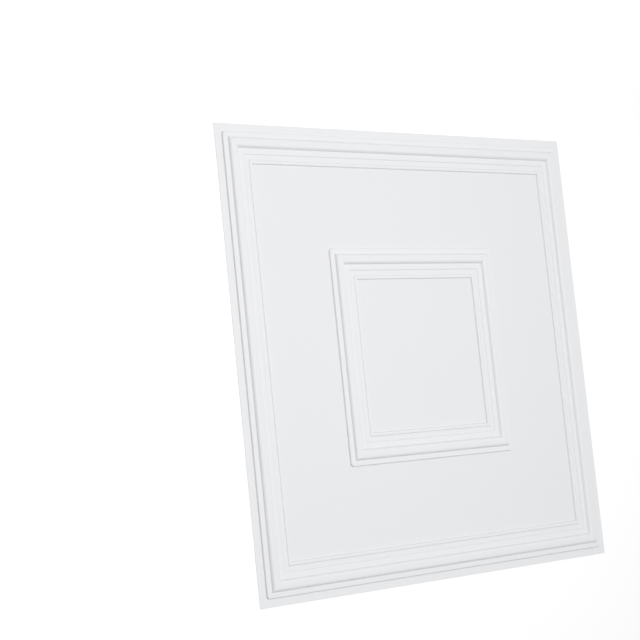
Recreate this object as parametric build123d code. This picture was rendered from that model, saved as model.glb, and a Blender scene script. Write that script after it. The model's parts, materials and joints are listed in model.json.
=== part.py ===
"""Square PVC ceiling tile: one formed sheet with two raised moulding frames and a hollow back.

Millimetres, +Z up. The tile lies on its back, face up, centred on the origin, with the back of its
border, field and centre at Z = 0.
"""
import os

from build123d import *

# Sheet
TILE_SIDE = 603.0        # outer size: a 24 inch ceiling grid cell less a quarter inch of play
SHEET = 0.8              # thickness of the formed sheet, the same all over
BEND_RADIUS = 0.25       # inside radius of the tight bends, on whichever face is inside them

# Plan, from the tile's edge inwards
BORDER = 10.5            # flat margin outside the outer moulding
FIELD = 108.5            # flat ring between the two mouldings
STEP_CORNER = 4.5        # plan radius at the corners of a moulding's first step

# Section of both mouldings, from the outer foot inwards
STEP_HEIGHT = 2.7        # rise from the border or field to the ledge
STEP_RUN = 0.3           # width that this rise takes
LEDGE_WIDTH = 7.2        # flat ledge in front of the roll
ROLL_WIDTH = 13.2        # rounded bar, foot to foot
ROLL_RISE = 3.9          # height of its crown over the ledge
ROLL_OUTER_RUN = 1.0     # width that its outer side takes
ROLL_INNER_RUN = 2.4     # width that its inner side takes, which is less steep
ROLL_RADIUS = 3.8        # rounding of its shoulders
UPPER_HEIGHT = 2.5       # level of the flat band inside the roll, over the border
UPPER_WIDTH = 7.6
LIP_DROP = 0.9           # step down from the upper band to the lower one
LIP_RUN = 0.5            # width of that step, and of the bead's outer side
LOWER_WIDTH = 7.5
BEAD_RISE = 1.0          # height of the closing bead over the lower band
BEAD_WIDTH = 3.5         # its flat top
DROP_RUN = 0.6           # width that the bead takes to fall to the next flat

# Places across the section, measured inwards from the moulding's outer foot
ROLL_START = STEP_RUN + LEDGE_WIDTH
ROLL_END = ROLL_START + ROLL_WIDTH
LIP_START = ROLL_END + UPPER_WIDTH
LOWER_START = LIP_START + LIP_RUN
LOWER_END = LOWER_START + LOWER_WIDTH
BEAD_START = LOWER_END + LIP_RUN
BEAD_END = BEAD_START + BEAD_WIDTH
MOULDING_WIDTH = BEAD_END + DROP_RUN

# Levels of the roll's crown, the lower band and the bead over the border
ROLL_HEIGHT = STEP_HEIGHT + ROLL_RISE
LOWER_HEIGHT = UPPER_HEIGHT - LIP_DROP
BEAD_HEIGHT = LOWER_HEIGHT + BEAD_RISE

# Radii on the front: a valley is the inside of its bend, a crown is the outside
VALLEY = BEND_RADIUS
CROWN = BEND_RADIUS + SHEET

# Flat strip that a formed section keeps past its outer bends, and where the ledge's two sections meet
STRIP = (STEP_CORNER - STEP_RUN) / 2
LEDGE_JOIN = (STEP_RUN + STRIP + ROLL_START) / 2


def step_line():
    """Front of a moulding's first step, from the flat outside it to the edge of the ledge."""
    return FilletPolyline(
        (-STRIP, 0),
        (0, 0),
        (STEP_RUN, STEP_HEIGHT),
        (STEP_RUN + STRIP, STEP_HEIGHT),
        radius=[VALLEY, CROWN],
    )


def roll_line():
    """Front of the rest of the moulding: ledge, rounded bar, two bands, bead and the next flat."""
    return FilletPolyline(
        (LEDGE_JOIN, STEP_HEIGHT),
        (ROLL_START, STEP_HEIGHT),
        (ROLL_START + ROLL_OUTER_RUN, ROLL_HEIGHT),
        (ROLL_END - ROLL_INNER_RUN, ROLL_HEIGHT),
        (ROLL_END, UPPER_HEIGHT),
        (LIP_START, UPPER_HEIGHT),
        (LOWER_START, LOWER_HEIGHT),
        (LOWER_END, LOWER_HEIGHT),
        (BEAD_START, BEAD_HEIGHT),
        (BEAD_END, BEAD_HEIGHT),
        (MOULDING_WIDTH, 0),
        (MOULDING_WIDTH + STRIP, 0),
        radius=[VALLEY, ROLL_RADIUS, ROLL_RADIUS, VALLEY, CROWN, VALLEY, VALLEY, CROWN, CROWN, VALLEY],
    )


def formed_section(front, half):
    """Section of the sheet, set up on the +X side: all under the front line within one thickness of it.

    The line's first coordinate runs inwards from a square of the given half side, its second upwards.
    """
    start, end = front @ 0, front @ 1
    depth = Vector(0, STEP_HEIGHT + 2 * SHEET)
    closing = Polyline(end, end - depth, start - depth, start)
    under = make_face(front.edges() + closing.edges())
    strip = under & make_face(offset(front, SHEET).edges())
    return Plane(origin=(half, 0, SHEET), x_dir=(-1, 0, 0), z_dir=(0, 1, 0)) * strip


def step_ring(half):
    """The first step, carried round a square with rounded corners."""
    far = FilletPolyline((half, 0), (half, half), (-half, half), (-half, 0), radius=STEP_CORNER)
    near = FilletPolyline((-half, 0), (-half, -half), (half, -half), (half, 0), radius=STEP_CORNER)
    path = Wire(far.edges() + near.edges())
    return sweep(formed_section(step_line(), half), path=path)


def roll_ring(half):
    """The rest of the moulding: four straight sides that meet in mitres on the diagonals."""
    side = extrude(formed_section(roll_line(), half), half, both=True)
    quarter = make_face(Polyline((0, 0), (half, -half), (half, half), close=True))
    mitred = side & extrude(quarter, half, both=True)
    return Part() + PolarLocations(0, 4) * mitred


def square(half):
    """Square outline at a distance of half from the centre."""
    return Rectangle(2 * half, 2 * half)


def step_outline(half, inwards):
    """Outline of a first step's rounded square, moved inwards, or outwards where that is negative."""
    side = 2 * (half - inwards)
    return RectangleRounded(side, side, STEP_CORNER - inwards)


def flat(outline, height):
    """Flat sheet of the given outline with its front at a height over the border."""
    return extrude(Pos(0, 0, height) * outline, SHEET)


def moulding(half):
    """One moulding frame with its outer foot on a square of the given half side."""
    ledge = step_outline(half, STEP_RUN + STRIP) - square(half - LEDGE_JOIN)
    return step_ring(half) + flat(ledge, STEP_HEIGHT) + roll_ring(half)


def ceiling_tile():
    """The whole sheet: border, outer moulding, field, inner moulding and centre, in one piece."""
    outer = TILE_SIDE / 2 - BORDER
    outer_end = outer - MOULDING_WIDTH - STRIP
    inner = outer - MOULDING_WIDTH - FIELD
    inner_end = inner - MOULDING_WIDTH - STRIP
    border = square(TILE_SIDE / 2) - step_outline(outer, -STRIP)
    field = square(outer_end) - step_outline(inner, -STRIP)
    flats = [flat(outline, 0) for outline in (border, field, square(inner_end))]
    return flats[0] + moulding(outer) + flats[1] + moulding(inner) + flats[2]


os.makedirs("parts", exist_ok=True)
tile = ceiling_tile()
export_step(tile, "parts/ceiling_tile.step")
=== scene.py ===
# %% [markdown]
# # A formed PVC ceiling tile
# The real tile is one thin sheet of white PVC, warmed and drawn over a mould. It has a flat border,
# a raised moulding frame, a flat field, a smaller frame of the same section and a flat centre, and
# its back is hollow where its front is raised. This lesson loads the measured model, sets up the
# camera and the light, and then makes the sheet and its finish.

# %% Load the measured model
import json
import math

import bmesh
import bpy
from mathutils import Matrix, Vector


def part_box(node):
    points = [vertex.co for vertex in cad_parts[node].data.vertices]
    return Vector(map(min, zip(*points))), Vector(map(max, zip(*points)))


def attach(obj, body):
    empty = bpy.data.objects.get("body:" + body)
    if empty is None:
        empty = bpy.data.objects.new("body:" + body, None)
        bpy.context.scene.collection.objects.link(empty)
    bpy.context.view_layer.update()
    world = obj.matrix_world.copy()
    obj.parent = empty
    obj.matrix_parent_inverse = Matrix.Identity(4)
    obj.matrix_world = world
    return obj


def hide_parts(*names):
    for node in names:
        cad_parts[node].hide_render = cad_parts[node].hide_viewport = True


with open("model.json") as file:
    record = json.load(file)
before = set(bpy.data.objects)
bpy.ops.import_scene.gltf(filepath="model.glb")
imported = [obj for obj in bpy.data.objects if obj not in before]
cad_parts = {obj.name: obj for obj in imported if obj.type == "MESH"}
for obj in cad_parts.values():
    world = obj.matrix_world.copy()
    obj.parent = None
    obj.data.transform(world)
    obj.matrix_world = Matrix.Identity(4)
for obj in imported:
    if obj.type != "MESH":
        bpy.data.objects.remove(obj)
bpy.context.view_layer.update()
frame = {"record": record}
tile_low, tile_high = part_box("ceiling_tile")
print("measured tile, mm:", [round(1000 * size, 2) for size in tile_high - tile_low])

# %% [markdown]
# The tile lies on its back, and the camera looks down on its face from the left through a long
# lens. A Track To constraint could aim it, but a matrix made of three directions needs no helper
# object, stays put, and lets the picture roll a few degrees about the line of sight.

# %% Camera
PICTURE_WIDTH = 640                                  # pixels
FOCAL_LENGTH = 1617                                  # in the same pixels
SENSOR_WIDTH = 36                                    # millimetres
CAMERA_PLACE = Vector((-1.4146, -0.1359, 1.6472))
CAMERA_AIM = Vector((-0.1668, 0.0492, 0.0008))
CAMERA_ROLL = math.radians(-5.82)


def aimed(place, aim, roll):
    """Matrix of a camera that looks from a place at a point, with the tile's +Y side upwards."""
    back = (place - aim).normalized()
    right = Vector((0, 1, 0)).cross(back).normalized()
    turn = Matrix((right, back.cross(right), back)).transposed()
    return Matrix.Translation(place) @ turn.to_4x4() @ Matrix.Rotation(roll, 4, "Z")


lens = bpy.data.cameras.new("camera")
lens.sensor_width = SENSOR_WIDTH
lens.lens = SENSOR_WIDTH * FOCAL_LENGTH / PICTURE_WIDTH
camera = bpy.data.objects.new("camera", lens)
camera.matrix_world = aimed(CAMERA_PLACE, CAMERA_AIM, CAMERA_ROLL)
bpy.context.scene.collection.objects.link(camera)
bpy.context.scene.camera = camera
print("camera: lens", round(lens.lens, 1), "mm")

# %% [markdown]
# Node trees are easier to read as arithmetic than as a list of links. This class wraps one output
# socket, so that a line such as 1 - mask adds a Math node by itself. Its node method adds any other
# node: the settings go in first, because they can change which sockets the node has.

# %% Node trees as expressions


def find_socket(sockets, key):
    """The socket with that identifier or name."""
    return next(socket for socket in sockets if key in (socket.identifier, socket.name))


class Field:
    """An output socket that can stand in a Python expression."""

    def __init__(self, socket):
        self.socket = socket

    def node(self, kind, settings=None, inputs=None, output=None):
        """Adds a node to the same tree and gives one of its outputs, the first unless named."""
        tree = self.socket.id_data
        node = tree.nodes.new(kind)
        for name, value in (settings or {}).items():
            setattr(node, name, value)
        for key, value in (inputs or {}).items():
            socket = find_socket(node.inputs, key)
            if isinstance(value, Field):
                tree.links.new(value.socket, socket)
            else:
                socket.default_value = value
        return Field(find_socket(node.outputs, output) if output else node.outputs[0])

    def math(self, operation, first, second=0.0):
        """A Math node on one or two values."""
        return self.node("ShaderNodeMath", {"operation": operation}, {"Value": first, "Value_001": second})

    def __add__(self, other):
        return self.math("ADD", self, other)

    def __radd__(self, other):
        return self.math("ADD", other, self)

    def __sub__(self, other):
        return self.math("SUBTRACT", self, other)

    def __rsub__(self, other):
        return self.math("SUBTRACT", other, self)

    def __mul__(self, other):
        return self.math("MULTIPLY", self, other)

    def __rmul__(self, other):
        return self.math("MULTIPLY", other, self)

    def __truediv__(self, other):
        return self.math("DIVIDE", self, other)

    def __abs__(self):
        return self.math("ABSOLUTE", self)

    def floored(self):
        return self.math("FLOOR", self)

    def above(self, other):
        """1 where this value is over the other, else 0."""
        return self.math("GREATER_THAN", self, other)

    def at_least(self, other):
        return self.math("MAXIMUM", self, other)

    def at_most(self, other):
        return self.math("MINIMUM", self, other)

    def axis(self, name):
        """One coordinate of a vector."""
        return self.node("ShaderNodeSeparateXYZ", inputs={"Vector": self}, output=name)

    def blend(self, first, second):
        """The colour that goes from the first to the second as this value goes from 0 to 1."""
        ends = {"Factor_Float": self, "A_Color": first, "B_Color": second}
        return self.node("ShaderNodeMix", {"data_type": "RGBA"}, ends, "Result_Color")


print("node trees: ready")

# %% [markdown]
# A white tile on a white ground shows only by the shade on its slopes and in its creases. A sun would
# cut hard shadows there, and an even white sky would leave hardly a line. So one large soft lamp hangs
# overhead, which makes whatever lies flat the brightest. It hangs over the upper left of the picture,
# so that corner is the brightest of all. The rest of the light is a sky that darkens a little towards
# the lower left, which draws a grey line along each step that faces that way. To the camera and in
# reflections the sky is plain white.

# %% Sky and lamp
SKY_LIGHT = 0.52
SKY_LEAN = (0.16, 0.24, 0.0)                         # how fast the sky darkens away from this side
LAMP_PLACE = Vector((-0.2, 0.25, 1.9))
LAMP_SIZE = 0.8                                      # metres
LAMP_POWER = 20.2                                    # watts


def seen_white(field):
    """1 for the rays that see the surroundings, straight or mirrored, and 0 for those that light."""
    rays = [
        field.node("ShaderNodeLightPath", output=name)
        for name in ("Is Camera Ray", "Is Glossy Ray", "Is Transmission Ray")
    ]
    return rays[0].at_least(rays[1]).at_least(rays[2])


world = bpy.data.worlds.new("studio")
world.use_nodes = True
bpy.context.scene.world = world
sky_shader = world.node_tree.nodes["Background"]
direction = Field(world.node_tree.nodes.new("ShaderNodeTexCoord").outputs["Generated"])
leaning = {"Vector": direction, "Vector_001": SKY_LEAN}
lean = direction.node("ShaderNodeVectorMath", {"operation": "DOT_PRODUCT"}, leaning, "Value")
sky = SKY_LIGHT * (1 + lean).at_most(1).at_least(0)
world.node_tree.links.new(seen_white(direction).at_least(sky).socket, sky_shader.inputs["Color"])

lamp_data = bpy.data.lights.new("soft_lamp", "AREA")
lamp_data.size = LAMP_SIZE
lamp_data.energy = LAMP_POWER
lamp = bpy.data.objects.new("soft_lamp", lamp_data)
lamp.matrix_world = aimed(LAMP_PLACE, Vector((0, 0, 0)), 0)
lamp.visible_camera = False
bpy.context.scene.collection.objects.link(lamp)
bpy.context.scene.view_settings.view_transform = "Standard"
print("light: sky", SKY_LIGHT, "lamp", LAMP_POWER, "W")

# %% [markdown]
# The ground is one white sheet far larger than the picture. A bent backdrop could hide the horizon, but
# it has a front, and the tile is looked at from all sides. Near the tile the ground's colour does
# nearly all of the work, and a little glow that lights nothing takes it up to white, so that it still
# holds the shadow under the tile's edge. Further off the glow grows until the ground is as white as
# the sky, and no horizon shows.

# %% Ground
GROUND_HALF = 8.0                                    # metres
GROUND_WHITE = 0.95
GROUND_GLOW = 0.12
GLOW_START = 0.5                                     # metres from the tile's middle
GLOW_RUN = 1.0                                       # metres over which the ground turns white

ground_mesh = bpy.data.meshes.new("ground")
ground_signs = ((-1, -1), (1, -1), (1, 1), (-1, 1))
ground_corners = [(x * GROUND_HALF, y * GROUND_HALF, 0) for x, y in ground_signs]
ground_mesh.from_pydata(ground_corners, [], [(0, 1, 2, 3)])
ground_finish = bpy.data.materials.new("ground")
ground_finish.use_nodes = True
ground_shader = ground_finish.node_tree.nodes["Principled BSDF"]
ground_shader.inputs["Base Color"].default_value = (GROUND_WHITE, GROUND_WHITE, GROUND_WHITE, 1)
ground_shader.inputs["Roughness"].default_value = 1.0
ground_shader.inputs["Specular IOR Level"].default_value = 0.0
ground_shader.inputs["Emission Strength"].default_value = 1.0
spot = Field(ground_finish.node_tree.nodes.new("ShaderNodeTexCoord").outputs["Object"])
distance = spot.node("ShaderNodeVectorMath", {"operation": "LENGTH"}, {"Vector": spot}, "Value")
glow = ((distance - GLOW_START) / GLOW_RUN).at_least(GROUND_GLOW).at_most(1)
seen_glow = seen_white(spot) * glow
ground_finish.node_tree.links.new(seen_glow.socket, ground_shader.inputs["Emission Color"])
ground_mesh.materials.append(ground_finish)
ground = bpy.data.objects.new("ground", ground_mesh)
bpy.context.scene.collection.objects.link(ground)
print("ground:", 2 * GROUND_HALF, "m square")

# %% [markdown]
# Rigid white PVC is matt and slightly cool. It comes out of the mould with a very fine grain, too
# small to see from afar, and a faint cloudiness. Shade is painted into its colour too: a painted
# shade in the tight valleys' creases, and a little on the fields, so that the border and the raised
# bands read whitest, as if lit. The trimmed edge is rougher than the face. A painted texture could
# carry this, but nodes need no unwrapping and hold up from close by. They work from the object's own
# coordinates and from one attribute of the sheet, which carries the painted shade and which the next
# cells give to its points.

# %% White PVC
MM = 0.001
HALF_SIDE = tile_high.x
PVC_WHITE = (0.828, 0.833, 0.845, 1)
# grey that the painted shade and the random clouds blend towards
PAINTED_SHADE_AND_CLOUD_GREY = (0.70, 0.705, 0.72, 1)
CLOUD_SHADE = 0.06                                   # most that a cloud adds to the shade
CLOUD_SIZE = 90 * MM
CLOUD_DETAIL = 2
GRAIN_SIZE = 0.9 * MM
GRAIN_DETAIL = 3
GRAIN_DEPTH = 0.02 * MM
GRAIN_STRENGTH = 0.3
ROUGHNESS = 0.5
ROUGHNESS_SPREAD = 0.12
EDGE_ROUGHNESS = 0.2                                 # added on the trimmed edge
EDGE_DEPTH = 0.02 * MM                               # how far in from the edge that goes
SPECULAR = 0.35


def noise(place, size, detail):
    """Noise from 0 to 1, with lumps of about that size."""
    values = {"Vector": place, "Scale": 1 / size, "Detail": detail}
    return place.node("ShaderNodeTexNoise", inputs=values)


def white_pvc():
    """The finish of the whole sheet."""
    material = bpy.data.materials.new("moulded_pvc")
    material.use_nodes = True
    tree = material.node_tree
    place = Field(tree.nodes.new("ShaderNodeTexCoord").outputs["Object"])
    clouds = noise(place, CLOUD_SIZE, CLOUD_DETAIL)
    grain = noise(place, GRAIN_SIZE, GRAIN_DETAIL)
    # painted shade carried by the points: shade painted into the creases, and a little on the fields
    point_painted_shade = place.node("ShaderNodeAttribute", {"attribute_name": "shade"}, output="Fac")
    reach = abs(place.axis("X")).at_least(abs(place.axis("Y")))
    trimmed = reach.above(HALF_SIDE - EDGE_DEPTH)
    # the painted shade, plus a random cloudiness
    shade = point_painted_shade + clouds * CLOUD_SHADE
    roughness = ROUGHNESS + (grain - 0.5) * ROUGHNESS_SPREAD + trimmed * EDGE_ROUGHNESS
    relief = {"Height": grain, "Strength": GRAIN_STRENGTH, "Distance": GRAIN_DEPTH}
    shader = tree.nodes["Principled BSDF"]
    tree.links.new(shade.blend(PVC_WHITE, PAINTED_SHADE_AND_CLOUD_GREY).socket, shader.inputs["Base Color"])
    tree.links.new(roughness.socket, shader.inputs["Roughness"])
    tree.links.new(place.node("ShaderNodeBump", inputs=relief).socket, shader.inputs["Normal"])
    shader.inputs["Specular IOR Level"].default_value = SPECULAR
    return material


pvc = white_pvc()
print("finish:", pvc.name, "with", len(pvc.node_tree.nodes), "nodes")

# %% [markdown]
# Every straight cut through the tile, square to a side, shows the same line: border, step, ledge,
# rounded bar, two flat bands, bead and field, and then the same again. It could be drawn by hand as a
# curve, but a mould maker gives it as corners and bend radii, which are easy to measure and to
# correct. So it is written that way, once for both frames. Distances run inwards from the trimmed
# edge, and heights are over the front of the border. The sheet's thickness and the border's width come
# from the rim that a ceiling grid holds, and the bar's height from the model.

# %% Section of the sheet
rim = next(mount for mount in frame["record"]["mounts"] if mount["name"] == "grid_rim")
SHEET = rim["pos_m"][2]
BORDER = 2 * (HALF_SIDE - rim["pos_m"][0])
FIELD = 108.5 * MM
STEP_HEIGHT = 2.7 * MM
STEP_RUN = 0.3 * MM
LEDGE_WIDTH = 7.2 * MM
ROLL_WIDTH = 13.2 * MM
ROLL_HEIGHT = tile_high.z - SHEET
ROLL_OUTER_RUN = 1.0 * MM
ROLL_INNER_RUN = 2.4 * MM
ROLL_RADIUS = 3.8 * MM
UPPER_HEIGHT = 2.5 * MM
UPPER_WIDTH = 7.6 * MM
LIP_DROP = 0.9 * MM
LIP_RUN = 0.5 * MM
LOWER_WIDTH = 7.5 * MM
BEAD_RISE = 1.0 * MM
BEAD_WIDTH = 3.5 * MM
DROP_RUN = 0.6 * MM
VALLEY_BEND = 0.25 * MM
CROWN_BEND = VALLEY_BEND + SHEET
HOLD = 1.2 * MM                                      # how far a valley's painted shade spreads beside it
PAINTED_FIELD_SHADE = 0.09                                   # shares of the shade colour painted on the fields and into the valleys
PAINTED_VALLEY_SHADE = 0.68


def moulding_corners(foot):
    """Corners of one moulding as (distance, height, bend radius), from its outer foot inwards."""
    lower_height = UPPER_HEIGHT - LIP_DROP
    bead_height = lower_height + BEAD_RISE
    # Each row is the width of a stretch, and the height and the bend radius at its inner end
    stretches = [
        (-HOLD, 0, 0),
        (HOLD, 0, VALLEY_BEND),
        (STEP_RUN, STEP_HEIGHT, CROWN_BEND),
        (LEDGE_WIDTH - HOLD, STEP_HEIGHT, 0),
        (HOLD, STEP_HEIGHT, VALLEY_BEND),
        (ROLL_OUTER_RUN, ROLL_HEIGHT, ROLL_RADIUS),
        (ROLL_WIDTH - ROLL_OUTER_RUN - ROLL_INNER_RUN, ROLL_HEIGHT, ROLL_RADIUS),
        (ROLL_INNER_RUN, UPPER_HEIGHT, VALLEY_BEND),
        (HOLD, UPPER_HEIGHT, 0),
        (UPPER_WIDTH - HOLD, UPPER_HEIGHT, CROWN_BEND),
        (LIP_RUN, lower_height, VALLEY_BEND),
        (HOLD, lower_height, 0),
        (LOWER_WIDTH - 2 * HOLD, lower_height, 0),
        (HOLD, lower_height, VALLEY_BEND),
        (LIP_RUN, bead_height, CROWN_BEND),
        (BEAD_WIDTH, bead_height, CROWN_BEND),
        (DROP_RUN, 0, VALLEY_BEND),
        (HOLD, 0, 0),
    ]
    corners = []
    distance = foot
    for run, height, radius in stretches:
        distance += run
        corners.append((distance, height, radius))
    return corners


def corner_painted_shade(distance, height, radius):
    """Painted shade at a corner: most in a valley's crease, a little on the fields, none on border and
    bands.
    """
    if radius == VALLEY_BEND:
        return PAINTED_VALLEY_SHADE
    # the fields get a little painted shade, so the border and raised bands read lighter, as if lit
    in_field = height == 0 and distance > BORDER
    return PAINTED_FIELD_SHADE if in_field else 0


outer_moulding = moulding_corners(BORDER)
INNER_FOOT = outer_moulding[-1][0] - HOLD + FIELD
corners = [(0, 0, 0)] + outer_moulding + moulding_corners(INNER_FOOT) + [(HALF_SIDE, 0, 0)]

section = bpy.data.meshes.new("section")
section.from_pydata([(distance, 0, height) for distance, height, radius in corners], [], [])
bend = section.attributes.new("bend", "FLOAT", "POINT")
bend.data.foreach_set("value", [radius for distance, height, radius in corners])
# each point gets its painted shade: most in the valleys' creases, a little on the fields
shade = section.attributes.new("shade", "FLOAT", "POINT")
shade.data.foreach_set("value", [corner_painted_shade(*corner) for corner in corners])
print("section:", len(corners), "corners, inner foot at", round(1000 * INNER_FOOT, 2), "mm")

# %% [markdown]
# The sheet follows a rule, so Geometry Nodes make it. A Solidify modifier could thicken a front face
# as well, but here the back comes from the section too, so that the sheet is equally thick all over.
# Fillet Curve rounds the section's corners. A grid then becomes one of the tile's four sides: each row
# is one point of the section, first on the front from the centre out to the edge, then on the back
# from the edge in, one thickness away. Each column is a place along the side, from one mitre to the
# next. Only the first step of a moulding has rounded corners in plan, so the rounding fades to nothing
# on both sides of it. Four turned copies, realized and merged, close the sheet. The mitres and the
# trimmed rim are marked as sharp, because smooth normals would smear one side into the next.

# %% Formed sheet as a node tree
TREE_INPUTS = {
    "Section": "NodeSocketGeometry",
    "Half Side": "NodeSocketFloat",
    "Sheet": "NodeSocketFloat",
    "Step Corner": "NodeSocketFloat",
    "Outer Foot": "NodeSocketFloat",
    "Inner Foot": "NodeSocketFloat",
    # painted shade of the back, the same as on the fields
    "Back Shade": "NodeSocketFloat",
    "Bend Points": "NodeSocketInt",
    "Corner Steps": "NodeSocketInt",
    "Finish": "NodeSocketMaterial",
}
SAME_PLACE = 0.002 * MM


def point_value(line, name):
    """A named number that the points of the section line carry."""
    return line.node("GeometryNodeInputNamedAttribute", {"data_type": "FLOAT"}, {"Name": name})


def sampled(line, value, kind, index):
    """A value read from the points of the section line by their number."""
    settings = {"data_type": kind, "domain": "POINT"}
    read = {"Geometry": line, "Value": value, "Index": index}
    return line.node("GeometryNodeSampleIndex", settings, read)


def step_rounding(given, inwards):
    """Plan radius of the corner at a distance from the edge: full at a foot, nothing further off."""
    to_outer = abs(inwards - given["Outer Foot"])
    to_inner = abs(inwards - given["Inner Foot"])
    return (given["Step Corner"] - to_outer.at_most(to_inner)).at_least(0)


def one_side(given):
    """The side of the tile that faces +X, front and back, between two mitres."""
    source = given["Section"]
    index = source.node("GeometryNodeInputIndex")
    points = source.node("GeometryNodeMeshToPoints", inputs={"Mesh": source})
    line = points.node("GeometryNodePointsToCurves", inputs={"Points": points, "Weight": index})
    bends = {"Curve": line, "Radius": point_value(line, "bend"), "Count": given["Bend Points"]}
    line = line.node("GeometryNodeFilletCurve", {"mode": "POLY"}, bends)
    of_curve = {"component": "CURVE"}
    count = line.node("GeometryNodeAttributeDomainSize", of_curve, {"Geometry": line}, "Point Count")

    steps = given["Corner Steps"]
    columns = 2 * (steps + 1)
    counts = {"Vertices X": 2 * count, "Vertices Y": columns}
    grid = line.node("GeometryNodeMeshGrid", inputs=counts, output="Mesh")
    row = (index / columns).floored()
    column = index - row * columns

    back = row.above(count - 0.5)
    number = back * (row - count) + (1 - back) * (count - 1 - row)
    spot = sampled(line, line.node("GeometryNodeInputPosition"), "FLOAT_VECTOR", number)
    slope = sampled(line, line.node("GeometryNodeInputTangent"), "FLOAT_VECTOR", number)
    # the painted shade of the front's points; the back gets the fields' painted shade
    front_painted_shade = sampled(line, point_value(line, "shade"), "FLOAT", number)
    shade = (1 - back) * front_painted_shade + back * given["Back Shade"]
    inwards = spot.axis("X") + back * given["Sheet"] * slope.axis("Z")
    height = spot.axis("Z") + given["Sheet"] - back * given["Sheet"] * slope.axis("X")

    radius = step_rounding(given, inwards)
    straight = given["Half Side"] - inwards - radius
    far_end = column.above(steps + 0.5)
    arc_step = column - far_end * (steps + 1)
    angle = (arc_step / steps + far_end - 1) * math.radians(45)
    along_x = straight + radius * angle.math("COSINE", angle)
    along_y = (2 * far_end - 1) * straight + radius * angle.math("SINE", angle)
    place = grid.node("ShaderNodeCombineXYZ", inputs={"X": along_x, "Y": along_y, "Z": height})
    side = grid.node("GeometryNodeSetPosition", inputs={"Geometry": grid, "Position": place})
    kept = {"Geometry": side, "Name": "shade", "Value": shade}
    return side.node("GeometryNodeStoreNamedAttribute", {"data_type": "FLOAT", "domain": "POINT"}, kept)


def four_sides(side):
    """Four copies of a side, turned about the centre and merged into one closed sheet."""
    index = side.node("GeometryNodeInputIndex")
    centre = side.node("GeometryNodePoints", inputs={"Count": 4})
    turn = side.node("ShaderNodeCombineXYZ", inputs={"Z": index * math.radians(90)})
    rotation = side.node("FunctionNodeEulerToRotation", inputs={"Euler": turn})
    copies = {"Points": centre, "Instance": side, "Rotation": rotation}
    four = side.node("GeometryNodeInstanceOnPoints", inputs=copies)
    whole = side.node("GeometryNodeRealizeInstances", inputs={"Geometry": four})
    return side.node("GeometryNodeMergeByDistance", inputs={"Geometry": whole, "Distance": SAME_PLACE})


def sharp_mitres(given, sheet):
    """Smooth faces, with the mitres and the trimmed rim kept sharp."""
    place = sheet.node("GeometryNodeInputPosition")
    across_x = abs(place.axis("X"))
    across_y = abs(place.axis("Y"))
    reach = across_x.at_least(across_y)
    on_diagonal = 1 - abs(across_x - across_y).above(SAME_PLACE)
    rounded = step_rounding(given, given["Half Side"] - reach).above(SAME_PLACE)
    on_rim = reach.above(given["Half Side"] - SAME_PLACE)
    sharp = (on_diagonal * (1 - rounded)).at_least(on_rim).above(0.5)
    smooth = sheet.node("GeometryNodeSetShadeSmooth", inputs={"Geometry": sheet})
    marked = {"Geometry": smooth, "Name": "sharp_edge", "Value": sharp}
    return sheet.node("GeometryNodeStoreNamedAttribute", {"data_type": "BOOLEAN", "domain": "EDGE"}, marked)


def formed_sheet_tree():
    """The whole tree, and the identifier of each input by its name."""
    tree = bpy.data.node_groups.new("formed_sheet", "GeometryNodeTree")
    identifiers = {}
    for name, kind in TREE_INPUTS.items():
        identifiers[name] = tree.interface.new_socket(name, in_out="INPUT", socket_type=kind).identifier
    tree.interface.new_socket("Tile", in_out="OUTPUT", socket_type="NodeSocketGeometry")
    entry = tree.nodes.new("NodeGroupInput")
    given = {name: Field(entry.outputs[name]) for name in TREE_INPUTS}
    sheet = sharp_mitres(given, four_sides(one_side(given)))
    dressed = {"Geometry": sheet, "Material": given["Finish"]}
    finished = sheet.node("GeometryNodeSetMaterial", inputs=dressed)
    tree.links.new(finished.socket, tree.nodes.new("NodeGroupOutput").inputs["Tile"])
    return tree, identifiers


sheet_tree, sheet_inputs = formed_sheet_tree()
print("tree:", len(sheet_tree.nodes), "nodes")

# %% [markdown]
# The modifier gets its sizes before Blender evaluates it for the first time. The result is then
# copied into a plain mesh and the modifier goes, so that what is shown and measured is the same
# mesh. The sheet has to be closed, so its open edges are counted and its volume is printed.

# %% Make the tile
STEP_CORNER = 4.5 * MM
BEND_POINTS = 8
CORNER_STEPS = 9

tile = bpy.data.objects.new("formed_sheet", section)
bpy.context.scene.collection.objects.link(tile)
forming = tile.modifiers.new("formed_sheet", "NODES")
forming.node_group = sheet_tree
sizes = {
    "Half Side": HALF_SIDE,
    "Sheet": SHEET,
    "Step Corner": STEP_CORNER,
    "Outer Foot": BORDER,
    "Inner Foot": INNER_FOOT,
    # the back takes the fields' painted shade
    "Back Shade": PAINTED_FIELD_SHADE,
    "Bend Points": BEND_POINTS,
    "Corner Steps": CORNER_STEPS,
    "Finish": pvc,
}
for name, value in sizes.items():
    forming[sheet_inputs[name]] = value

scene_graph = bpy.context.evaluated_depsgraph_get()
tile.data = bpy.data.meshes.new_from_object(
    tile.evaluated_get(scene_graph), preserve_all_data_layers=True, depsgraph=scene_graph
)
tile.modifiers.remove(forming)

measure = bmesh.new()
measure.from_mesh(tile.data)
open_edges = sum(not edge.is_manifold for edge in measure.edges)
print("tile:", len(tile.data.polygons), "faces,", open_edges, "open edges,")
print("volume", round(1e9 * measure.calc_volume(signed=True)), "cubic mm")
measure.free()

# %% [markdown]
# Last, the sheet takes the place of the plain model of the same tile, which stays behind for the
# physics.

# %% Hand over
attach(tile, "root")
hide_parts("ceiling_tile")
